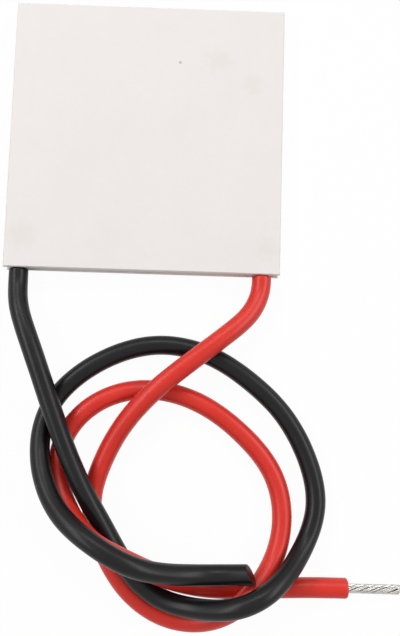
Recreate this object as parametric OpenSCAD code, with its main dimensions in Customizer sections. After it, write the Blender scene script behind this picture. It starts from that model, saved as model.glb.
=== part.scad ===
// Thermoelectric cooling module.
//
// Two square ceramic plates hold a field of semiconductor legs between them.
// Copper tabs on the plates join the legs, end to end, into one long series
// string that winds up and down the columns, so current runs alternately up a
// p-type leg and down an n-type one. A bead of silicone seals the edge, and an
// insulated lead is soldered to each end of the string.
//
// Units are millimetres. The origin is the centre of the hot plate's lower
// face, +Z points out of the cold face, and the leads leave along -Y.

/* [Ceramic plates] */
// Size of the module along X
module_w = 40; // [30:0.5:62]
// Size of the module along Y, the way the leads leave
module_l = 40; // [30:0.5:62]
// Thickness of each ceramic plate
plate_t = 0.7; // [0.5:0.05:1.2]
// Width of the ground edge break round each outer face
edge_break = 0.12; // [0.05:0.01:0.3]

/* [Legs and tabs] */
// Places along each side of the field; an even number
grid_n = 16; // [4:2:16]
// Side of each square leg
leg_w = 1.4; // [0.8:0.05:1.5]
// Height of each leg
leg_h = 1.2; // [0.8:0.05:2.5]
// From the edge of the plates to the outermost legs
leg_margin = 1.3; // [1.25:0.05:3]
// Thickness of the copper tabs
tab_t = 0.3; // [0.2:0.05:0.5]
// How far a tab stands out round its legs
tab_rim = 0.15; // [0.05:0.05:0.15]
// Thickness of the solder above and below each leg
solder_t = 0.05; // [0.03:0.01:0.1]
// How far the solder stands out round its leg
solder_lip = 0.05; // [0.02:0.01:0.05]

/* [Edge seal] */
// Width of the silicone bead between the plates
seal_w = 0.8; // [0.5:0.05:0.9]
// From the edge of the plates to the bead
seal_inset = 0.15; // [0.05:0.05:0.2]
// How far the bead's outer face curves in at its middle
seal_hollow = 0.15; // [0.05:0.05:0.2]

/* [Leads] */
// Diameter of the leads over their insulation
lead_od = 2.8; // [2:0.1:3]
// Diameter of the stranded conductor
core_d = 1.2; // [0.8:0.05:1.3]
// From the side of the module to the middle of the positive lead
positive_inset = 2.5; // [2:0.1:3]
// From the side of the module to the middle of the negative lead
negative_inset = 2; // [2:0.1:3]
// Length of bare strands at the free end of the positive lead
bare_l = 7.5; // [3:0.5:12]
// Diameter of those bare strands, twisted together
bare_d = 1.3; // [0.8:0.05:1.6]

/* [Hidden] */
$fn = 48;

// The stack, from the hot plate up
gap_h = 2 * tab_t + 2 * solder_t + leg_h;
hot_tab_z = plate_t;
hot_solder_z = hot_tab_z + tab_t;
leg_z = hot_solder_z + solder_t;
cold_solder_z = leg_z + leg_h;
cold_tab_z = cold_solder_z + solder_t;
cold_plate_z = plate_t + gap_h;

// The field of legs: two corner places on the lead side stay empty for the leads
leg_count = grid_n * grid_n - 2;
pitch_x = (module_w - 2 * leg_margin - leg_w) / (grid_n - 1);
pitch_y = (module_l - 2 * leg_margin - leg_w) / (grid_n - 1);
tab_w = leg_w + 2 * tab_rim;
solder_w = leg_w + 2 * solder_lip;

// The leads leave between the plates, at mid height
exit_z = plate_t + gap_h / 2;
positive_x = module_w / 2 - positive_inset;
negative_x = negative_inset - module_w / 2;
seat_clear = 0.02;

// Solder over each conductor: how far it stands out round it, and how far past its end
joint_wall = 0.35;
joint_past = 0.2;
joint_top = 0.3;

// The strand bundle: turns along its length, strands round it, and how deep between them
strand_turns = 0.9;
strand_lobes = 7;
strand_groove = 0.2;

// The leads lie on the bench in loose loops, over and under each other. Each point is
// [x, distance in front of the module, leads' worth of height off the bench].
lead_gap = 0.25;
lead_straight = 2.5;
lead_sides = 8;
lead_rings = 40;
red_route = [
    [16, 6, 0.5], [12.5, 9, 0.9], [7.5, 13, 1.1], [2.5, 17, 1.1], [-2, 22, 0.5], [-5, 28, 0],
    [-6.5, 34, 0], [-4, 40, 0], [-0.5, 45.5, 0], [5, 49, 0], [11.5, 49, 0.4], [16.5, 45, 1.4],
    [20.5, 40, 0.2], [21.5, 34, 0], [20, 28, 0], [15.5, 23, 0], [9.5, 18.5, 0], [2, 16.5, 0],
    [-5, 18, 0], [-10, 22.5, 0], [-11.5, 28.5, 0], [-9, 34, 0.8], [-5.5, 37.5, 1.9],
    [-1, 39.5, 2], [4.5, 42.5, 1], [10, 44.5, 0], [16.5, 44.5, 0], [23.5, 44, 0], [30.5, 44, 0]];
black_route = [
    [-17.5, 6, 0.6], [-15, 11.5, 1], [-12.5, 18, 1], [-10, 24.5, 1], [-7, 31, 1], [-3.5, 36.5, 0.9],
    [-0.5, 42, 0.6], [4, 46, 0.6], [10, 46.5, 1.3], [15, 45.5, 2.4], [20, 43, 2], [24, 39, 0.3],
    [26.5, 33, 0], [25, 26.5, 0], [21.5, 20, 0], [16.5, 15.5, 0], [10.5, 11.5, 0], [3, 10, 0],
    [-4, 12, 0], [-10, 16, 0], [-13.5, 21, 0], [-13.5, 27.5, 0.7], [-10.5, 33.5, 1.7],
    [-6, 36.5, 2.8], [0, 40, 3], [5, 41.5, 2], [11, 42, 1], [16.5, 41.5, 1.5]];

// ---- ceramic plates ----

// A bar along Y whose long edges are broken on the top or the bottom face
module edged_bar(w, l, broken_top) {
    rotate([90, 0, 0])
        linear_extrude(l, center = true)
            translate([0, plate_t / 2])
                mirror([0, broken_top ? 0 : 1])
                    polygon([[-w / 2, -plate_t / 2], [w / 2, -plate_t / 2],
                             [w / 2, plate_t / 2 - edge_break], [w / 2 - edge_break, plate_t / 2],
                             [edge_break - w / 2, plate_t / 2], [-w / 2, plate_t / 2 - edge_break]]);
}

// A plate is where two such bars cross, so all four edges are broken and mitred
module ceramic_plate(broken_top) {
    intersection() {
        edged_bar(module_w, module_l, broken_top);
        rotate([0, 0, 90]) edged_bar(module_l, module_w, broken_top);
    }
}

module hot_plate() {
    color("#e6e1dd") ceramic_plate(false);
}

module cold_plate() {
    color("#ebe6e3") translate([0, 0, cold_plate_z]) ceramic_plate(true);
}

// ---- the series string of legs ----

function column_x(column) = (column - (grid_n - 1) / 2) * pitch_x;
function row_y(row) = (row - (grid_n - 1) / 2) * pitch_y;

// Leg k of the string: up the first column from its second place, down the next,
// and so on, down the last column to its second place
function leg_row(column, step) = column % 2 == 0 ? step : grid_n - 1 - step;
function leg_at(k) =
    let (column = floor((k + 1) / grid_n), step = (k + 1) % grid_n)
    [column_x(column), row_y(leg_row(column, step))];

// A flat rectangular block on level z that covers the plan from one corner to the other
module slab(low, high, z, h) {
    translate([low.x, low.y, z]) cube([high.x - low.x, high.y - low.y, h]);
}

// A square block on level z, centred on a leg's place
module square_at(place, w, z, h) {
    slab([place.x - w / 2, place.y - w / 2], [place.x + w / 2, place.y + w / 2], z, h);
}

// Each second pair of neighbours in the string, from leg first on, shares a tab
module tabs(first, z) {
    for (k = [first : 2 : leg_count - 2]) {
        a = leg_at(k);
        b = leg_at(k + 1);
        slab([min(a.x, b.x) - tab_w / 2, min(a.y, b.y) - tab_w / 2],
             [max(a.x, b.x) + tab_w / 2, max(a.y, b.y) + tab_w / 2], z, tab_t);
    }
}

// Each second leg of the string
module legs(first) {
    for (k = [first : 2 : leg_count - 1])
        square_at(leg_at(k), leg_w, leg_z, leg_h);
}

// A film of solder on one face of every leg
module solder_films(z) {
    for (k = [0 : leg_count - 1])
        square_at(leg_at(k), solder_w, z, solder_t);
}

module cold_tabs() {
    color("#c8764a") tabs(0, cold_tab_z);
}

module hot_tabs() {
    color("#c8764a") tabs(1, hot_tab_z);
}

module p_legs() {
    color("#5a5d63") legs(0);
}

module n_legs() {
    color("#6d7077") legs(1);
}

module hot_solder() {
    color("#c9ccd0") solder_films(hot_solder_z);
}

module cold_solder() {
    color("#c9ccd0") solder_films(cold_solder_z);
}

// ---- the ends of the string, where the leads are soldered ----

// Plan corners of an end pad: it covers its leg and the empty corner place in front
// of it, and reaches out as far sideways as the lead's conductor needs
pad_reach = core_d / 2 + tab_rim;
function pad_low(leg, lead_x) =
    [min(leg.x - tab_w / 2, lead_x - pad_reach), row_y(0) - tab_w / 2];
function pad_high(leg, lead_x) =
    [max(leg.x + tab_w / 2, lead_x + pad_reach), leg.y + tab_w / 2];

module end_pad(leg, lead_x) {
    slab(pad_low(leg, lead_x), pad_high(leg, lead_x), hot_tab_z, tab_t);
}

module positive_pad() {
    color("#c8764a") end_pad(leg_at(leg_count - 1), positive_x);
}

module negative_pad() {
    color("#c8764a") end_pad(leg_at(0), negative_x);
}

// The conductor's inner end lies over the empty place
core_end_y = row_y(0) + leg_w / 2;

// A rod along Y at a lead's exit, from one place to another
module lead_rod(lead_x, d, from_y, to_y) {
    translate([lead_x, to_y, exit_z])
        rotate([90, 0, 0])
            cylinder(d = d, h = to_y - from_y);
}

module positive_core() {
    color("#d5d6d8") lead_rod(positive_x, core_d, -module_l / 2, core_end_y);
}

module negative_core() {
    color("#d5d6d8") lead_rod(negative_x, core_d, -module_l / 2, core_end_y);
}

// A mound of solder round the conductor, as wide as the pad allows
module solder_joint(leg, lead_x) {
    low = pad_low(leg, lead_x);
    high = pad_high(leg, lead_x);
    difference() {
        intersection() {
            lead_rod(lead_x, core_d + 2 * joint_wall, low.y, core_end_y + joint_past);
            slab(low, high, hot_solder_z, exit_z + joint_top - hot_solder_z);
        }
        lead_rod(lead_x, core_d, -module_l / 2, core_end_y);
    }
}

module positive_joint() {
    color("#c9ccd0") solder_joint(leg_at(leg_count - 1), positive_x);
}

module negative_joint() {
    color("#c9ccd0") solder_joint(leg_at(0), negative_x);
}

// ---- silicone bead round the edge ----

// Radius of a groove as high as the gap and seal_hollow deep
groove_r = (pow(gap_h / 2, 2) + pow(seal_hollow, 2)) / (2 * seal_hollow);

// The round groove along one side of the bead, whose outer face is at distance out
module groove(out, length) {
    translate([0, -out - groove_r + seal_hollow, exit_z])
        rotate([0, 90, 0])
            cylinder(r = groove_r, h = length, center = true);
}

module edge_seal() {
    out_x = module_w / 2 - seal_inset;
    out_y = module_l / 2 - seal_inset;
    color("#f2f0ec")
        difference() {
            slab([-out_x, -out_y], [out_x, out_y], plate_t, gap_h);
            slab([seal_w - out_x, seal_w - out_y], [out_x - seal_w, out_y - seal_w], plate_t, gap_h);
            for (turn = [0, 180]) {
                rotate([0, 0, turn]) groove(out_y, module_w);
                rotate([0, 0, turn + 90]) groove(out_x, module_l);
            }
            for (x = [positive_x, negative_x])
                lead_rod(x, core_d + 2 * seat_clear, -module_l / 2, core_end_y);
        }
}

// ---- leads ----

// Height of a lead's middle line over this many leads
function lie(leads) = lead_od / 2 + leads * (lead_od + lead_gap);

// The whole route of a lead: straight out of the side of the module, then its own points
function lead_path(exit_x, route) = concat(
    [[exit_x, 0, exit_z], [exit_x, -lead_straight, exit_z]],
    [for (p = route) [p.x, -p.y, lie(p.z)]]);

// Uniform cubic B-spline over four neighbours, and its slope, at t from 0 to 1
function blend(a, b, c, d, t) =
    (pow(1 - t, 3) * a + (3 * pow(t, 3) - 6 * t * t + 4) * b
     + (-3 * pow(t, 3) + 3 * t * t + 3 * t + 1) * c + pow(t, 3) * d) / 6;
function blend_slope(a, b, c, d, t) =
    (-pow(1 - t, 2) * a + (3 * t * t - 4 * t) * b + (-3 * t * t + 2 * t + 1) * c + t * t * d) / 2;

// The four points that shape span k; a point past either end mirrors its neighbour,
// so the curve starts and ends on the first and last points
function neighbours(path, k) =
    let (last = len(path) - 1)
    [k == 0 ? 2 * path[0] - path[1] : path[k - 1], path[k], path[k + 1],
     k + 2 > last ? 2 * path[last] - path[last - 1] : path[k + 2]];

// One ring of a tube of radius r round the curve at u, with its flats level
function tube_ring(path, u, r) =
    let (k = min(floor(u), len(path) - 2),
         near = neighbours(path, k),
         middle = blend(near[0], near[1], near[2], near[3], u - k),
         slope = blend_slope(near[0], near[1], near[2], near[3], u - k),
         along = slope / norm(slope),
         level = cross(along, [0, 0, 1]),
         across = level / norm(level),
         up = cross(across, along))
    [for (i = [0 : lead_sides - 1])
        let (a = 360 * (i + 0.5) / lead_sides)
        middle + r * (cos(a) * across + sin(a) * up)];

// A closed tube along a path, one ring after another
module tube(path, r) {
    spans = len(path) - 1;
    points = [for (j = [0 : lead_rings - 1])
                 each tube_ring(path, spans * j / (lead_rings - 1), r)];
    n = lead_sides;
    walls = [for (j = [0 : lead_rings - 2], i = [0 : n - 1])
                let (a = j * n + i, b = j * n + (i + 1) % n)
                each [[a, b, b + n], [a, b + n, a + n]]];
    first_end = [for (i = [n - 1 : -1 : 0]) i];
    last_end = [for (i = [0 : n - 1]) (lead_rings - 1) * n + i];
    polyhedron(points, concat(walls, [first_end, last_end]));
}

// Everything on the leads is placed from the middle of the side that they leave
module at_lead_side() {
    translate([0, -module_l / 2, 0]) children();
}

module red_lead() {
    color("#d92b20") at_lead_side() tube(lead_path(positive_x, red_route), lead_od / 2);
}

module black_lead() {
    color("#2a2a2d") at_lead_side() tube(lead_path(negative_x, black_route), lead_od / 2);
}

// Outline of the bundle: a ring of strands, each a lobe
strand_outline = [
    for (i = [0 : 4 * strand_lobes - 1])
        let (a = 90 * i / strand_lobes)
        bare_d / 2 * (1 - strand_groove * (1 - cos(strand_lobes * a)) / 2) * [cos(a), sin(a)]];

// Bare strands, twisted together, that go on along the red lead's last stretch
module red_strands() {
    path = lead_path(positive_x, red_route);
    tip = path[len(path) - 1];
    before = path[len(path) - 2];
    color("#d5d6d8")
        at_lead_side()
            translate(tip)
                rotate([0, 90, atan2(tip.y - before.y, tip.x - before.x)])
                    linear_extrude(bare_l, twist = 360 * strand_turns, slices = 18)
                        polygon(strand_outline);
}

hot_plate();
cold_plate();
hot_tabs();
cold_tabs();
positive_pad();
negative_pad();
p_legs();
n_legs();
hot_solder();
cold_solder();
edge_seal();
positive_core();
negative_core();
positive_joint();
negative_joint();
red_lead();
black_lead();
red_strands();
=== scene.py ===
# %% [markdown]
# # A thermoelectric cooling module
#
# A flat sandwich: two white ceramic plates with a field of small semiconductor legs
# between them, a bead of silicone round the edge, and two soft silicone-insulated
# leads that lie in loose loops on the bench. The construction comes from the packed
# frame at its real size. This lesson makes what the frame leaves plain: the leads as
# smooth tubes, the twisted strands, and the finish of every surface.

# %% Load the frame
import math

import bpy
import numpy as np
from mathutils import Matrix, Vector


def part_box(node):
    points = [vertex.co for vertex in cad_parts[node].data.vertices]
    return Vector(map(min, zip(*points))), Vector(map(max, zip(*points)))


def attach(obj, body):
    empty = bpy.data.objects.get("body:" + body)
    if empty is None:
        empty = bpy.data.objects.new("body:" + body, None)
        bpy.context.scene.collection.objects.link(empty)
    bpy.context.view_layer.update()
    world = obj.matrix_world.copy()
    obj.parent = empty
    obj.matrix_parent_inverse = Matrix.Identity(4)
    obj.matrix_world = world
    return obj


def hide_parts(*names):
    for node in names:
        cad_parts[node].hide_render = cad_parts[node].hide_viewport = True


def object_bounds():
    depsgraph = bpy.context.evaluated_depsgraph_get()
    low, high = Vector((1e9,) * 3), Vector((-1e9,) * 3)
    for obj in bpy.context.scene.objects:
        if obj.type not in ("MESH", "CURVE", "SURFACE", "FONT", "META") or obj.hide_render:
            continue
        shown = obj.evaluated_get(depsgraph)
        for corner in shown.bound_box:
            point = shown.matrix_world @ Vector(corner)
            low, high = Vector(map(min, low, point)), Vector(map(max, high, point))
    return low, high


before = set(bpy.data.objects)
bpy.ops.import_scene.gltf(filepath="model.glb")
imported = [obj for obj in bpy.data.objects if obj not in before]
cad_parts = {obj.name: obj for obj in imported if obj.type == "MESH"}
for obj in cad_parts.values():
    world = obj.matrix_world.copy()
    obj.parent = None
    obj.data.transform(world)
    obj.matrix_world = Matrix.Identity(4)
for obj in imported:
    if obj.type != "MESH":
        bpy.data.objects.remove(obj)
cad_low, cad_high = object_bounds()
MM = 0.001
plate_low, plate_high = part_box("cold_plate")
print("module", round((plate_high.x - plate_low.x) / MM, 2), "mm wide, top at",
      round(plate_high.z / MM, 2), "mm")

# %% [markdown]
# ## The camera
#
# The module is seen from nearly straight above. The camera hangs a little in front of
# the side that the leads leave, so that side shows as a thin grey band. It is close
# enough for the upper plate to look slightly larger than the lower one. Its place and
# turn are in millimetres and degrees.

# %% Camera
PICTURE_MM = 36.0
NEAREST_M = 0.001
FARTHEST_M = 5.0


def make_camera(place_mm, turn_deg, lens_mm):
    """A camera at a place, turned about X, then Y, then Z."""
    data = bpy.data.cameras.new("camera")
    data.sensor_width = PICTURE_MM
    data.lens = lens_mm
    data.clip_start, data.clip_end = NEAREST_M, FARTHEST_M
    camera = bpy.data.objects.new("camera", data)
    camera.location = [c * MM for c in place_mm]
    camera.rotation_euler = [math.radians(a) for a in turn_deg]
    bpy.context.scene.collection.objects.link(camera)
    bpy.context.scene.camera = camera
    return camera


camera = make_camera(place_mm=(7.323, -38.08, 108.02), turn_deg=(6.210, -0.904, 1.711),
                     lens_mm=41.635)
print("camera", round(camera.location.z / MM, 1), "mm above the bench")

# %% [markdown]
# ## Where the leads run
#
# A soft lead has a fixed length and lies where it fell, so its route is a short list
# of points: how far across, how far in front of the module, and how many other leads
# it lies on. The same list shapes the lead in the frame. A uniform cubic B-spline
# through such points never wobbles, because it rounds the corners off and keeps its
# curvature continuous, as a springy cord does.

# %% Sizes of a lead, in millimetres
LEAD_D = 2.8
LEAD_GAP = 0.25
LEAD_STRAIGHT = 2.5
RING_SPACING = 0.35
FINE_COUNT = 6000
EXIT_Z = (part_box("positive_core")[0].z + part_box("positive_core")[1].z) / 2 / MM
SIDE_Y = plate_low.y / MM


def middle_x(node):
    """Middle of a node along X, in millimetres."""
    low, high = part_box(node)
    return (low.x + high.x) / 2 / MM


RED_ROUTE = [
    (16, 6, 0.5), (12.5, 9, 0.9), (7.5, 13, 1.1), (2.5, 17, 1.1), (-2, 22, 0.5), (-5, 28, 0),
    (-6.5, 34, 0), (-4, 40, 0), (-0.5, 45.5, 0), (5, 49, 0), (11.5, 49, 0.4), (16.5, 45, 1.4),
    (20.5, 40, 0.2), (21.5, 34, 0), (20, 28, 0), (15.5, 23, 0), (9.5, 18.5, 0), (2, 16.5, 0),
    (-5, 18, 0), (-10, 22.5, 0), (-11.5, 28.5, 0), (-9, 34, 0.8), (-5.5, 37.5, 1.9),
    (-1, 39.5, 2), (4.5, 42.5, 1), (10, 44.5, 0), (16.5, 44.5, 0), (23.5, 44, 0), (30.5, 44, 0)]
BLACK_ROUTE = [
    (-17.5, 6, 0.6), (-15, 11.5, 1), (-12.5, 18, 1), (-10, 24.5, 1), (-7, 31, 1),
    (-3.5, 36.5, 0.9), (-0.5, 42, 0.6), (4, 46, 0.6), (10, 46.5, 1.3), (15, 45.5, 2.4),
    (20, 43, 2), (24, 39, 0.3), (26.5, 33, 0), (25, 26.5, 0), (21.5, 20, 0), (16.5, 15.5, 0),
    (10.5, 11.5, 0), (3, 10, 0), (-4, 12, 0), (-10, 16, 0), (-13.5, 21, 0), (-13.5, 27.5, 0.7),
    (-10.5, 33.5, 1.7), (-6, 36.5, 2.8), (0, 40, 3), (5, 41.5, 2), (11, 42, 1), (16.5, 41.5, 1.5)]

# %% From a route to a smooth line
def route_points(exit_x, route):
    """Points of a route in millimetres: straight out of the side, then its own points."""
    x, ahead, under = np.array(route, float).T
    lying = np.stack([x, SIDE_Y - ahead, LEAD_D / 2 + under * (LEAD_D + LEAD_GAP)], axis=1)
    out = [[exit_x, SIDE_Y, EXIT_Z], [exit_x, SIDE_Y - LEAD_STRAIGHT, EXIT_Z]]
    return np.vstack([out, lying])


def smooth_line(points, count):
    """Uniform cubic B-spline at evenly spaced parameters, and its unit direction.

    On span k with t from 0 to 1 the four points a, b, c, d are mixed by
    (1-t)^3, 3t^3-6t^2+4, -3t^3+3t^2+3t+1 and t^3, all over 6. A point past either
    end mirrors its neighbour, so the curve starts and ends on the route's own ends."""
    padded = np.vstack([2 * points[0] - points[1], points, 2 * points[-1] - points[-2]])
    u = np.linspace(0, len(points) - 1, count)
    span = np.minimum(u.astype(int), len(points) - 2)
    t = (u - span)[:, None]
    a, b, c, d = (padded[span + k] for k in range(4))
    place = ((1 - t) ** 3 * a + (3 * t ** 3 - 6 * t ** 2 + 4) * b
             + (-3 * t ** 3 + 3 * t ** 2 + 3 * t + 1) * c + t ** 3 * d) / 6
    slope = (-(1 - t) ** 2 * a + (3 * t ** 2 - 4 * t) * b
             + (-3 * t ** 2 + 2 * t + 1) * c + t ** 2 * d) / 2
    return place, slope / np.linalg.norm(slope, axis=1, keepdims=True)


def distances(line):
    """Distance along a line at each of its points."""
    steps = np.linalg.norm(np.diff(line, axis=0), axis=1)
    return np.concatenate([[0], np.cumsum(steps)])


def read_along(places, along, values):
    """Rows of three values, read off at other distances along the same line."""
    return np.stack([np.interp(places, along, values[:, k]) for k in range(3)], axis=1)


def even_line(points, spacing):
    """The smooth line again, at places that lie an even distance apart."""
    fine, _ = smooth_line(points, FINE_COUNT)
    along = distances(fine)
    count = int(round(along[-1] / spacing)) + 1
    line = read_along(np.linspace(0, along[-1], count), along, fine)
    slope = np.gradient(line, axis=0)
    return line, slope / np.linalg.norm(slope, axis=1, keepdims=True)


red_points = route_points(middle_x("positive_core"), RED_ROUTE)
black_points = route_points(middle_x("negative_core"), BLACK_ROUTE)
for name, points in (("red", red_points), ("black", black_points)):
    length = distances(smooth_line(points, FINE_COUNT)[0])[-1]
    print(name, "lead is", round(length, 1), "mm long")

# %% [markdown]
# ## From a grid to a mesh
#
# Every new piece here is a surface worked out on a grid: rows along the piece, and
# columns round it. One helper turns such a grid into a mesh that closes round and has
# a fan of faces over each end. It writes the points with from_pydata, and keeps two
# numbers per corner in a UV map, set with foreach_set, which takes the whole array at
# once: how far along the piece, and how far round.

# %% Grid helper
def closed_tube(name, rings, along):
    """A closed mesh from rings of points, shape (rows, columns, 3), in millimetres.

    Faces join each ring to the next, and a fan round a middle point shuts each end.
    The UV map holds distance along in millimetres and turns round."""
    rows, columns, _ = rings.shape
    ends = np.stack([rings[0].mean(axis=0), rings[-1].mean(axis=0)])
    points = np.concatenate([rings.reshape(-1, 3), ends]) * MM
    row, column = np.meshgrid(np.arange(rows - 1), np.arange(columns), indexing="ij")
    after = (column + 1) % columns
    walls = np.stack([row * columns + column, row * columns + after,
                      (row + 1) * columns + after, (row + 1) * columns + column], axis=-1)
    walls = walls.reshape(-1, 4)
    ring = np.arange(columns)
    ring_after = (ring + 1) % columns
    first, last = rows * columns, rows * columns + 1
    base = (rows - 1) * columns
    start_fan = np.stack([np.full(columns, first), ring_after, ring], axis=1)
    end_fan = np.stack([np.full(columns, last), base + ring, base + ring_after], axis=1)
    mesh = bpy.data.meshes.new(name)
    mesh.from_pydata(points.tolist(), [], walls.tolist() + start_fan.tolist() + end_fan.tolist())
    turn = np.stack([column, column + 1, column + 1, column], axis=-1).reshape(-1, 4) / columns
    reach = along[np.stack([row, row, row + 1, row + 1], axis=-1)].reshape(-1, 4)
    fan_turn = np.stack([ring + 0.5, ring + 1, ring], axis=1) / columns
    back_turn = np.stack([ring + 0.5, ring, ring + 1], axis=1) / columns
    uv = np.concatenate([
        np.stack([reach, turn], axis=-1).reshape(-1, 2),
        np.stack([np.full((columns, 3), along[0]), fan_turn], axis=-1).reshape(-1, 2),
        np.stack([np.full((columns, 3), along[-1]), back_turn], axis=-1).reshape(-1, 2)])
    mesh.uv_layers.new(name="along_round").data.foreach_set("uv", uv.ravel())
    mesh.polygons.foreach_set("use_smooth", np.ones(len(mesh.polygons), dtype=bool))
    mesh.update()
    piece = bpy.data.objects.new(name, mesh)
    bpy.context.scene.collection.objects.link(piece)
    return piece


def frames_along(slope):
    """Level and upward directions square to each direction of a line."""
    level = np.cross(slope, [0, 0, 1])
    level /= np.linalg.norm(level, axis=1, keepdims=True)
    return level, np.cross(level, slope)


def rings_round(middle, forward, radius, sides):
    """Circles square to a line: middle + radius * (level * cos(turn) + up * sin(turn))."""
    level, up = frames_along(forward)
    turn = 2 * math.pi * np.arange(sides) / sides
    outward = np.cos(turn)[:, None] * level[:, None] + np.sin(turn)[:, None] * up[:, None]
    return middle[:, None] + radius[:, None, None] * outward


# %% [markdown]
# ## The insulated leads
#
# The insulation is soft silicone, cut square where it was stripped. A plain swept
# circle would end in a knife edge, so the tube's radius follows a quarter circle over
# the last fraction of a millimetre at each end. A stripper pulls the edge of the red
# lead's free end a little rounder. The black lead was cut through at a slant with side
# cutters, and its edge stayed sharper. Small waves in the radius, about a hundredth of
# a millimetre, keep the long highlights from looking machined.

# %% Ends of a lead
EDGE_STEPS = 7
SLANT_REACH = 2.5


def quarter_circle(edge):
    """Distances from a tube's end, and the radius lost there, for a rounded edge.

    With angle from 0 to a quarter turn, they are edge times 1 less its cosine, and
    edge times 1 less its sine."""
    angle = np.linspace(0, math.pi / 2, EDGE_STEPS)
    return edge * (1 - np.cos(angle)), edge * (1 - np.sin(angle))


def slanted_cut(rings, centre, forward, from_end, slant):
    """Moves points along the line by slant times their distance to the level side.

    The move fades in, as a square, over the last SLANT_REACH before the end."""
    level, _ = frames_along(forward)
    across = ((rings - centre[:, None]) * level[:, None]).sum(axis=2)
    fade = np.clip(1 - from_end / SLANT_REACH, 0, 1) ** 2
    return rings + (slant * fade[:, None] * across)[..., None] * forward[:, None]


# %% Lead tube
SIDES = 32
EDGE_MARGIN = 0.1
WAVE_SHARES = (0.004, 0.003, 0.002)
WAVE_LENGTHS = (23.0, 9.0, 4.1)


def radius_waves(place, seed):
    """A sum of sines along the lead, as a share of its radius, with random phases."""
    phases = np.random.default_rng(seed).uniform(0, 6.28, len(WAVE_SHARES))
    return sum(share * np.sin(2 * math.pi * place / length + phase)
               for share, length, phase in zip(WAVE_SHARES, WAVE_LENGTHS, phases))


def lead_tube(name, points, start_edge, end_edge, seed, slant=0.0):
    """A tube of the lead's diameter along a route, with rounded edges at both ends.

    The radius is R less a quarter circle at each end, times one plus small waves."""
    line, slope = even_line(points, RING_SPACING)
    along = distances(line)
    length = along[-1]
    start_inset, start_lost = quarter_circle(start_edge)
    end_inset, end_lost = quarter_circle(end_edge)
    inner = along[(along > start_edge + EDGE_MARGIN) & (along < length - end_edge - EDGE_MARGIN)]
    place = np.concatenate([start_inset, inner, (length - end_inset)[::-1]])
    radius = LEAD_D / 2 - np.concatenate([start_lost, np.zeros(len(inner)), end_lost[::-1]])
    radius *= 1 + radius_waves(place, seed)
    centre = read_along(place, along, line)
    forward = read_along(place, along, slope)
    forward /= np.linalg.norm(forward, axis=1, keepdims=True)
    rings = rings_round(centre, forward, radius, SIDES)
    rings = slanted_cut(rings, centre, forward, length - place, slant)
    return closed_tube(name, rings, place), line


red_lead, red_line = lead_tube("red_lead_insulation", red_points, start_edge=0.3,
                               end_edge=0.35, seed=3)
black_lead, black_line = lead_tube("black_lead_insulation", black_points, start_edge=0.3,
                                   end_edge=0.12, seed=7, slant=0.4)
for piece in (red_lead, black_lead):
    print(piece.name, len(piece.data.polygons), "faces")

# %% [markdown]
# ## The bare strands
#
# The conductor is a bunch of fine tinned wires, twisted together. Each wire is a
# helix: its distance from the bunch's middle stays the same while it turns steadily
# along the lead. One in the middle, six round it and twelve round those is how round
# wires pack. Their lengths differ a little, because they were cut by hand, and the
# twist opens slightly towards the tip.

# %% Strand bundle
STRAND_D = 0.27
BUNDLE_LAYERS = ((1, 0.0), (6, 0.262), (12, 0.515))
BUNDLE_TURNS = 0.9
BURIED = 0.4
CUT_TIP_SHARE = 0.55
STRAND_SIDES = 10
STRAND_ROWS = 44
STRAND_SEED = 11


def strand_rings(start, forward, level, up, reach, radius, first_turn, turns, opening):
    """Rings of one wire: its middle turns about the bunch while it goes forward.

    Middle(t) = start + forward * reach * t + radius * (1 + opening * t^2) *
    (level * cos(angle) + up * sin(angle)), with angle = first_turn + 2 pi turns t."""
    t = np.linspace(0, 1, STRAND_ROWS)[:, None]
    angle = first_turn + 2 * math.pi * turns * t
    out = radius * (1 + opening * t ** 2)
    middle = start + forward * reach * t + out * (level * np.cos(angle) + up * np.sin(angle))
    slope = np.gradient(middle, axis=0)
    slope /= np.linalg.norm(slope, axis=1, keepdims=True)
    wire_radius = np.full(STRAND_ROWS, STRAND_D / 2)
    wire_radius[-1] *= CUT_TIP_SHARE
    return rings_round(middle, slope, wire_radius, STRAND_SIDES)


def join_meshes(name, pieces):
    """One object from several, so that the bunch is one piece."""
    bpy.ops.object.select_all(action="DESELECT")
    for piece in pieces:
        piece.select_set(True)
    bpy.context.view_layer.objects.active = pieces[0]
    bpy.ops.object.join()
    pieces[0].name = name
    pieces[0].data.name = name
    return pieces[0]


def strand_bundle(name, tip, forward, reach, turns):
    """Wires in layers about the lead's line, which start just inside the insulation."""
    level, up = (v[0] for v in frames_along(forward[None, :]))
    start = tip - BURIED * forward
    rng = np.random.default_rng(STRAND_SEED)
    wires = []
    for count, radius in BUNDLE_LAYERS:
        for k in range(count):
            first_turn = 2 * math.pi * k / count + rng.uniform(-0.08, 0.08)
            wire_reach = reach + BURIED + rng.uniform(-0.25, 0.0)
            wire_turns = turns + rng.uniform(-0.02, 0.02)
            opening = rng.uniform(0.0, 0.12)
            rings = strand_rings(start, forward, level, up, wire_reach, radius, first_turn,
                                 wire_turns, opening)
            wires.append(closed_tube("wire", rings, np.linspace(0, reach, STRAND_ROWS)))
    return join_meshes(name, wires)


strand_low, strand_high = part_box("red_strands")
BARE_LENGTH = (strand_high.x - strand_low.x) / MM
red_direction = red_line[-1] - red_line[-2]
red_direction /= np.linalg.norm(red_direction)
strands = strand_bundle("bare_strands", red_line[-1], red_direction, BARE_LENGTH,
                        BUNDLE_TURNS)
print("strands", round(BARE_LENGTH, 2), "mm bare,", len(strands.data.polygons), "faces")

# %% Cords
def declare_lead(piece, node):
    """Hangs the piece under the root body and hides the node that it stands for."""
    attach(piece, "root")
    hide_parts(node)


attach(strands, "root")
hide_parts("red_strands")
declare_lead(red_lead, "red_lead")
declare_lead(black_lead, "black_lead")

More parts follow.
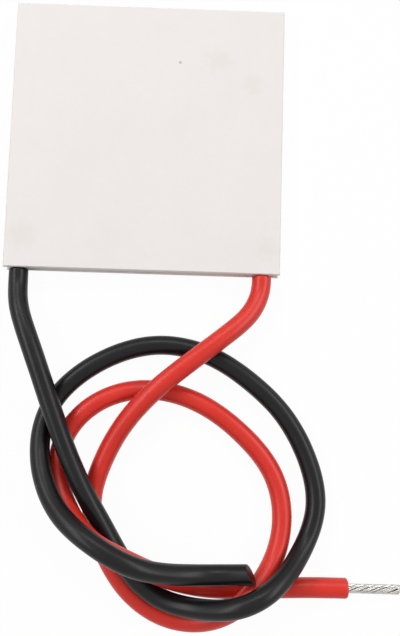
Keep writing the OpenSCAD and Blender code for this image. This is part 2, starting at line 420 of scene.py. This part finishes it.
# %% [markdown]
# ## Shader helpers and shared effects
#
# A finish is built from a few effects: soft blotches in a colour, fine dust, and a
# smudge at one place. Each is a node group with named inputs, built once, that puts out
# a mask. The material mixes its own colours with it.

# %% Shader helpers
def add(tree, kind, **values):
    """A node of one kind, with its inputs set by name and its other settings by attribute."""
    node = tree.nodes.new(kind)
    for key, value in values.items():
        name = key.replace("_", " ")
        if name in node.inputs:
            node.inputs[name].default_value = value
        else:
            setattr(node, key, value)
    return node


def wire(tree, source, target):
    """Joins an output socket to an input socket."""
    tree.links.new(source, target)


def set_or_wire(tree, value, socket):
    """Gives an input its value: a link when the value is a socket, else a number."""
    if isinstance(value, bpy.types.NodeSocket):
        wire(tree, value, socket)
    else:
        socket.default_value = value


def maths(tree, operation, first, second, clamp=False):
    """A Math node on two sockets or numbers, and its output."""
    node = tree.nodes.new("ShaderNodeMath")
    node.operation = operation
    node.use_clamp = clamp
    for socket, value in zip(node.inputs, (first, second)):
        set_or_wire(tree, value, socket)
    return node.outputs[0]


def soft_step(tree, value, low, high):
    """0 below low, 1 above high and smooth between."""
    node = tree.nodes.new("ShaderNodeMapRange")
    node.interpolation_type = "SMOOTHSTEP"
    wire(tree, value, node.inputs["Value"])
    node.inputs["From Min"].default_value = low
    node.inputs["From Max"].default_value = high
    return node.outputs["Result"]


def new_group(name, inputs):
    """A shader node group with these inputs (name, socket type, default) and one mask out."""
    group = bpy.data.node_groups.new(name, "ShaderNodeTree")
    for label, kind, value in inputs:
        socket = group.interface.new_socket(label, in_out="INPUT", socket_type=kind)
        if value is not None:
            socket.default_value = value
    group.interface.new_socket("Mask", in_out="OUTPUT", socket_type="NodeSocketFloat")
    return group, group.nodes.new("NodeGroupInput"), group.nodes.new("NodeGroupOutput")


# %% Blotches, dust and smudges
def make_blotch_group():
    """Mask of soft patches: layered noise, spread about one half by Contrast."""
    group, come, go = new_group("soft_blotches", [
        ("Place", "NodeSocketVector", None), ("Scale", "NodeSocketFloat", 200.0),
        ("Contrast", "NodeSocketFloat", 1.0)])
    noise = add(group, "ShaderNodeTexNoise", Detail=3.0, Roughness=0.55)
    wire(group, come.outputs["Place"], noise.inputs["Vector"])
    wire(group, come.outputs["Scale"], noise.inputs["Scale"])
    spread = maths(group, "MULTIPLY", maths(group, "SUBTRACT", noise.outputs["Fac"], 0.5),
                   come.outputs["Contrast"])
    wire(group, maths(group, "ADD", spread, 0.5, clamp=True), go.inputs["Mask"])
    return group


LARGEST_SPECK = 0.16


def make_dust_group():
    """Mask of sparse specks: the middle of a few random cells, with a size of its own."""
    group, come, go = new_group("dust_specks", [
        ("Place", "NodeSocketVector", None), ("Scale", "NodeSocketFloat", 400.0),
        ("Share", "NodeSocketFloat", 0.05)])
    cells = add(group, "ShaderNodeTexVoronoi", feature="F1")
    wire(group, come.outputs["Place"], cells.inputs["Vector"])
    wire(group, come.outputs["Scale"], cells.inputs["Scale"])
    pick = add(group, "ShaderNodeSeparateColor")
    wire(group, cells.outputs["Color"], pick.inputs["Color"])
    chosen = maths(group, "LESS_THAN", pick.outputs[0], come.outputs["Share"])
    size = maths(group, "MULTIPLY", pick.outputs[1], LARGEST_SPECK)
    inside = maths(group, "LESS_THAN", cells.outputs["Distance"], size)
    wire(group, maths(group, "MULTIPLY", chosen, inside), go.inputs["Mask"])
    return group


RIM_BEND = 1.6
RIM_FROM, RIM_TO = 0.2, 1.0


def make_smudge_group():
    """Mask of one ragged patch: near 1 at Centre and 0 past Radius, its rim bent by noise."""
    group, come, go = new_group("smudge", [
        ("Place", "NodeSocketVector", None), ("Centre", "NodeSocketVector", None),
        ("Radius", "NodeSocketFloat", 0.002)])
    apart = add(group, "ShaderNodeVectorMath", operation="DISTANCE")
    wire(group, come.outputs["Place"], apart.inputs[0])
    wire(group, come.outputs["Centre"], apart.inputs[1])
    rag = add(group, "ShaderNodeTexNoise", Scale=900.0, Detail=3.0)
    wire(group, come.outputs["Place"], rag.inputs["Vector"])
    bend = maths(group, "MULTIPLY", maths(group, "SUBTRACT", rag.outputs["Fac"], 0.5), RIM_BEND)
    share = maths(group, "ADD", maths(group, "DIVIDE", apart.outputs["Value"],
                                      come.outputs["Radius"]), bend)
    rim = soft_step(group, share, RIM_FROM, RIM_TO)
    wire(group, maths(group, "SUBTRACT", 1.0, rim), go.inputs["Mask"])
    return group


BLOTCH = make_blotch_group()
DUST = make_dust_group()
SMUDGE = make_smudge_group()
print("shader groups:", ", ".join(g.name for g in (BLOTCH, DUST, SMUDGE)))

# %% Parts of a material
def new_material(name, **values):
    """A material with one Principled shader, its plain inputs set by name."""
    material = bpy.data.materials.new(name)
    material.use_nodes = True
    tree = material.node_tree
    shader = tree.nodes["Principled BSDF"]
    for key, value in values.items():
        shader.inputs[key.replace("_", " ")].default_value = value
    return material, tree, shader


def object_place(tree):
    """Object coordinates, which on these pieces are metres in the module's frame."""
    return add(tree, "ShaderNodeTexCoord").outputs["Object"]


def effect(tree, group, place, **values):
    """A shared effect placed in a material with its own values, and its mask."""
    node = tree.nodes.new("ShaderNodeGroup")
    node.node_tree = group
    wire(tree, place, node.inputs["Place"])
    for key, value in values.items():
        node.inputs[key].default_value = value
    return node.outputs["Mask"]


def mix_colour(tree, mask, first, second):
    """First where the mask is 0 and second where it is 1; each a colour or a socket."""
    node = tree.nodes.new("ShaderNodeMix")
    node.data_type = "RGBA"
    wire(tree, mask, node.inputs["Factor"])
    colours = [s for s in node.inputs if s.type == "RGBA"]
    for socket, value in zip(colours, (first, second)):
        set_or_wire(tree, value, socket)
    return [s for s in node.outputs if s.type == "RGBA"][0]


def lay_over(tree, colour, mask, amount, tint):
    """A colour with a tint laid over it where the mask shows, at most by amount."""
    return mix_colour(tree, maths(tree, "MULTIPLY", mask, amount), colour, tint)


def set_range(tree, mask, target, low, high):
    """Drives an input between two numbers by a mask."""
    node = tree.nodes.new("ShaderNodeMapRange")
    wire(tree, mask, node.inputs["Value"])
    node.inputs["To Min"].default_value = low
    node.inputs["To Max"].default_value = high
    wire(tree, node.outputs["Result"], target)


def bump(tree, height, shader, depth_mm, strength=1.0):
    """Turns a height mask into a bumped normal on the shader."""
    node = add(tree, "ShaderNodeBump", Strength=strength, Distance=depth_mm * MM)
    wire(tree, height, node.inputs["Height"])
    wire(tree, node.outputs["Normal"], shader.inputs["Normal"])


# %% [markdown]
# ## Ceramic
#
# Sintered alumina is off-white, matt and very slightly uneven in tone, and its
# lapped faces have a grain too fine to see but enough to break the gloss. Handling
# leaves a few faint yellow-grey smudges and one dark speck.

# %% Ceramic material
def rgb(r, g, b):
    """A colour written as 0-255 display values, as the linear numbers a shader takes."""
    c = np.array([r, g, b]) / 255
    linear = np.where(c <= 0.04045, c / 12.92, ((c + 0.055) / 1.055) ** 2.4)
    return (*linear.tolist(), 1.0)


SMUDGES = (((10.3, 12.0), 2.6), ((15.4, 8.5), 2.2), ((-17.6, -15.3), 3.0), ((18.0, -16.3), 2.4))
SPECK = ((4.6, 11.5), 0.3)
SMUDGE_TINT = rgb(214, 205, 190)
SPECK_TINT = rgb(120, 112, 104)
SMUDGE_AMOUNT = 0.22
SPECK_AMOUNT = 0.5


def make_ceramic():
    """Two close whites in soft blotches, smudges laid over, and a fine grain in the normal."""
    material, tree, shader = new_material("alumina_ceramic", Roughness=0.55, IOR=1.6)
    place = object_place(tree)
    wide = effect(tree, BLOTCH, place, Scale=120.0, Contrast=1.6)
    fine = effect(tree, BLOTCH, place, Scale=900.0, Contrast=1.2)
    colour = mix_colour(tree, wide, rgb(231, 226, 223), rgb(236, 231, 228))
    colour = lay_over(tree, colour, fine, 0.3, rgb(226, 221, 217))
    marks = [(*smudge, SMUDGE_AMOUNT, SMUDGE_TINT) for smudge in SMUDGES]
    marks.append((*SPECK, SPECK_AMOUNT, SPECK_TINT))
    for (x, y), radius, amount, tint in marks:
        mask = effect(tree, SMUDGE, place, Centre=(x * MM, y * MM, plate_high.z),
                      Radius=radius * MM)
        colour = lay_over(tree, colour, mask, amount, tint)
    wire(tree, colour, shader.inputs["Base Color"])
    set_range(tree, wide, shader.inputs["Roughness"], 0.5, 0.62)
    grain = add(tree, "ShaderNodeTexNoise", Scale=5000.0, Detail=4.0)
    wire(tree, place, grain.inputs["Vector"])
    bump(tree, grain.outputs["Fac"], shader, depth_mm=0.01)
    return material


ceramic = make_ceramic()
print("material", ceramic.name)

# %% [markdown]
# ## Silicone insulation and sealant
#
# Silicone rubber is soft to the eye as well: a satin gloss with broad highlights, no
# grain, and a few specks of dust that cling to it. The red and the black differ in
# colour and a little in gloss, so one function makes both. Faint lines along the lead,
# left by the extruder's die, follow the surface and so they read the lead's own UV map.

# %% Insulation materials
DIE_LINE_SCALE = (0.25, 34.0, 1.0)


def make_insulation(name, deep, bright, dust, roughness, level):
    """Two close tones in blotches, die lines along the lead, and clinging dust."""
    material, tree, shader = new_material(name, Roughness=roughness, IOR=1.42,
                                          Specular_IOR_Level=level)
    place = object_place(tree)
    blotch = effect(tree, BLOTCH, place, Scale=260.0, Contrast=1.4)
    colour = mix_colour(tree, blotch, deep, bright)
    specks = effect(tree, DUST, place, Scale=700.0, Share=0.035)
    colour = lay_over(tree, colour, specks, 0.4, dust)
    wire(tree, colour, shader.inputs["Base Color"])
    set_range(tree, blotch, shader.inputs["Roughness"], roughness - 0.04, roughness + 0.06)
    uv = add(tree, "ShaderNodeUVMap", uv_map="along_round")
    stretch = add(tree, "ShaderNodeMapping")
    stretch.inputs["Scale"].default_value = DIE_LINE_SCALE
    wire(tree, uv.outputs["UV"], stretch.inputs["Vector"])
    lines = add(tree, "ShaderNodeTexNoise", Scale=1.0, Detail=2.0)
    wire(tree, stretch.outputs["Vector"], lines.inputs["Vector"])
    bump(tree, lines.outputs["Fac"], shader, depth_mm=0.02, strength=0.04)
    return material


red_rubber = make_insulation(
    "red_silicone", deep=rgb(209, 42, 31), bright=rgb(221, 52, 39), dust=rgb(236, 150, 140),
    roughness=0.36, level=0.48)
black_rubber = make_insulation(
    "black_silicone", deep=rgb(12, 12, 14), bright=rgb(17, 17, 20), dust=rgb(120, 116, 112),
    roughness=0.33, level=0.32)


def make_sealant():
    """White room-temperature silicone: smooth, a little lumpy where it was smeared."""
    material, tree, shader = new_material("edge_sealant", Roughness=0.38, IOR=1.42)
    place = object_place(tree)
    blotch = effect(tree, BLOTCH, place, Scale=350.0, Contrast=1.5)
    wire(tree, mix_colour(tree, blotch, rgb(226, 223, 216), rgb(240, 238, 233)),
         shader.inputs["Base Color"])
    lumps = add(tree, "ShaderNodeTexNoise", Scale=700.0, Detail=3.0)
    wire(tree, place, lumps.inputs["Vector"])
    bump(tree, lumps.outputs["Fac"], shader, depth_mm=0.12, strength=0.8)
    return material


sealant = make_sealant()
print("materials", red_rubber.name, black_rubber.name, sealant.name)

# %% [markdown]
# ## Metals and semiconductor
#
# Most of these lie sealed between the plates. They still get their real finishes:
# bright tinned wire, warm satin copper for the tabs, dull silver solder with a slightly
# frosted surface, and dark, faintly crystalline bismuth telluride for the legs.

# %% Metal materials
def make_metal(name, low, high, roughness, grain_scale, grain_depth, metallic=1.0):
    """Two close tones of a metal in blotches, with a fine grain in the normal."""
    material, tree, shader = new_material(name, Metallic=metallic, Roughness=roughness)
    place = object_place(tree)
    blotch = effect(tree, BLOTCH, place, Scale=1500.0, Contrast=1.5)
    wire(tree, mix_colour(tree, blotch, low, high), shader.inputs["Base Color"])
    set_range(tree, blotch, shader.inputs["Roughness"], roughness - 0.05, roughness + 0.08)
    grain = add(tree, "ShaderNodeTexNoise", Scale=grain_scale, Detail=3.0)
    wire(tree, place, grain.inputs["Vector"])
    bump(tree, grain.outputs["Fac"], shader, grain_depth)
    return material


tinned = make_metal("tinned_strands", rgb(158, 155, 150), rgb(214, 212, 208),
                    roughness=0.17, grain_scale=6000.0, grain_depth=0.004)
copper = make_metal("copper_tabs", rgb(190, 112, 78), rgb(214, 136, 98),
                    roughness=0.35, grain_scale=4000.0, grain_depth=0.006)
solder = make_metal("dull_solder", rgb(178, 180, 183), rgb(206, 208, 210),
                    roughness=0.4, grain_scale=3000.0, grain_depth=0.01)
p_telluride = make_metal("p_telluride", rgb(84, 86, 92), rgb(112, 114, 120),
                         roughness=0.45, grain_scale=5000.0, grain_depth=0.01, metallic=0.8)
n_telluride = make_metal("n_telluride", rgb(98, 100, 106), rgb(128, 130, 137),
                         roughness=0.42, grain_scale=5000.0, grain_depth=0.01, metallic=0.8)
print("materials", tinned.name, copper.name, solder.name, p_telluride.name, n_telluride.name)

# %% [markdown]
# ## Putting the finishes on
#
# One table says which finish each node has. The nodes that the new leads and strands
# stand for are left out of it, and those new pieces get their finishes by themselves.

# %% Put the finishes on
FINISHES = {
    "hot_plate": ceramic, "cold_plate": ceramic, "edge_seal": sealant,
    "hot_tabs": copper, "cold_tabs": copper, "positive_pad": copper, "negative_pad": copper,
    "p_legs": p_telluride, "n_legs": n_telluride,
    "hot_solder": solder, "cold_solder": solder,
    "positive_joint": solder, "negative_joint": solder,
    "positive_core": tinned, "negative_core": tinned,
}


def paint(piece, material):
    """Gives every face of a piece one material."""
    if not piece.material_slots:
        piece.data.materials.append(material)
    for slot in piece.material_slots:
        slot.material = material


for node, material in FINISHES.items():
    paint(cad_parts[node], material)
paint(red_lead, red_rubber)
paint(black_lead, black_rubber)
paint(strands, tinned)
print(len(FINISHES), "nodes, two leads and the strands painted")

# %% [markdown]
# ## Bench, backdrop and light
#
# The bench is plain white. Seen by the camera or in a reflection it is white by
# itself, and a small share of its look comes from the light it receives, so the pieces
# keep a faint shadow under them.

# %% Bench
BENCH_GAP = 0.02 * MM
BENCH_GREY = 0.88


def direct_view(tree):
    """1 for a ray that shows the background: straight, mirrored or through glass."""
    path = tree.nodes.new("ShaderNodeLightPath")
    seen = maths(tree, "MAXIMUM", path.outputs["Is Camera Ray"], path.outputs["Is Glossy Ray"])
    return maths(tree, "MAXIMUM", seen, path.outputs["Is Transmission Ray"])


def make_bench(half_size, own_white):
    """A flat white bench, its look part own white and part received light."""
    mesh = bpy.data.meshes.new("bench")
    h = half_size
    mesh.from_pydata([(-h, -h, 0), (h, -h, 0), (h, h, 0), (-h, h, 0)], [], [(0, 1, 2, 3)])
    bench = bpy.data.objects.new("bench", mesh)
    bpy.context.scene.collection.objects.link(bench)
    bench.location.z = cad_low.z - BENCH_GAP
    material, tree, shader = new_material("white_bench", Roughness=0.9)
    shader.inputs["Base Color"].default_value = (BENCH_GREY, BENCH_GREY, BENCH_GREY, 1)
    shader.inputs["Specular IOR Level"].default_value = 0.0
    glow = add(tree, "ShaderNodeEmission", Strength=1.0)
    both = tree.nodes.new("ShaderNodeMixShader")
    wire(tree, maths(tree, "MULTIPLY", direct_view(tree), own_white), both.inputs[0])
    wire(tree, shader.outputs[0], both.inputs[1])
    wire(tree, glow.outputs[0], both.inputs[2])
    wire(tree, both.outputs[0], tree.nodes["Material Output"].inputs["Surface"])
    mesh.materials.append(material)
    print("bench", 2 * half_size, "m wide")


make_bench(half_size=1.5, own_white=0.96)

# %% [markdown]
# ## World and lamps
#
# The world is white where it is seen and a weak even fill as light. Two long strip
# lamps hang on the left and right, and a short one beyond the module's far side. The
# long ones draw two streaks along a lead that runs away from the module, the short one
# draws one along a lead that lies across, and the flat ceramic shows no glare.

# %% World and lamps
def make_world(fill):
    """White where it is seen, and a weak even fill as light."""
    world = bpy.data.worlds.new("studio")
    bpy.context.scene.world = world
    world.use_nodes = True
    tree = world.node_tree
    level = tree.nodes.new("ShaderNodeMapRange")
    wire(tree, direct_view(tree), level.inputs["Value"])
    level.inputs["To Min"].default_value = fill
    level.inputs["To Max"].default_value = 1.0
    wire(tree, level.outputs["Result"], tree.nodes["Background"].inputs["Strength"])
    tree.nodes["Background"].inputs["Color"].default_value = (1, 1, 1, 1)


def strip_lamp(name, place_mm, width_mm, length_mm, watts):
    """An area lamp that faces AIM: level across its width, its length as near Y as it goes."""
    data = bpy.data.lights.new(name, "AREA")
    data.shape = "RECTANGLE"
    data.size, data.size_y = width_mm * MM, length_mm * MM
    data.energy = watts
    lamp = bpy.data.objects.new(name, data)
    back = (Vector(place_mm) - Vector(AIM)).normalized()
    across = Vector((0, 1, 0)).cross(back).normalized()
    turned = Matrix((across, back.cross(across), back)).transposed()
    lamp.matrix_world = Matrix.Translation(Vector(place_mm) * MM) @ turned.to_4x4()
    bpy.context.scene.collection.objects.link(lamp)
    print(name, watts, "W")


AIM = (7, -45, 0)
make_world(fill=0.27)
strip_lamp("left_strip", (-590, 180, 660), width_mm=210, length_mm=1000, watts=4.6)
strip_lamp("right_strip", (795, 220, 660), width_mm=260, length_mm=1000, watts=5.0)
strip_lamp("back_strip", (7, 520, 550), width_mm=400, length_mm=130, watts=1.2)
bpy.context.scene.view_settings.view_transform = "Standard"
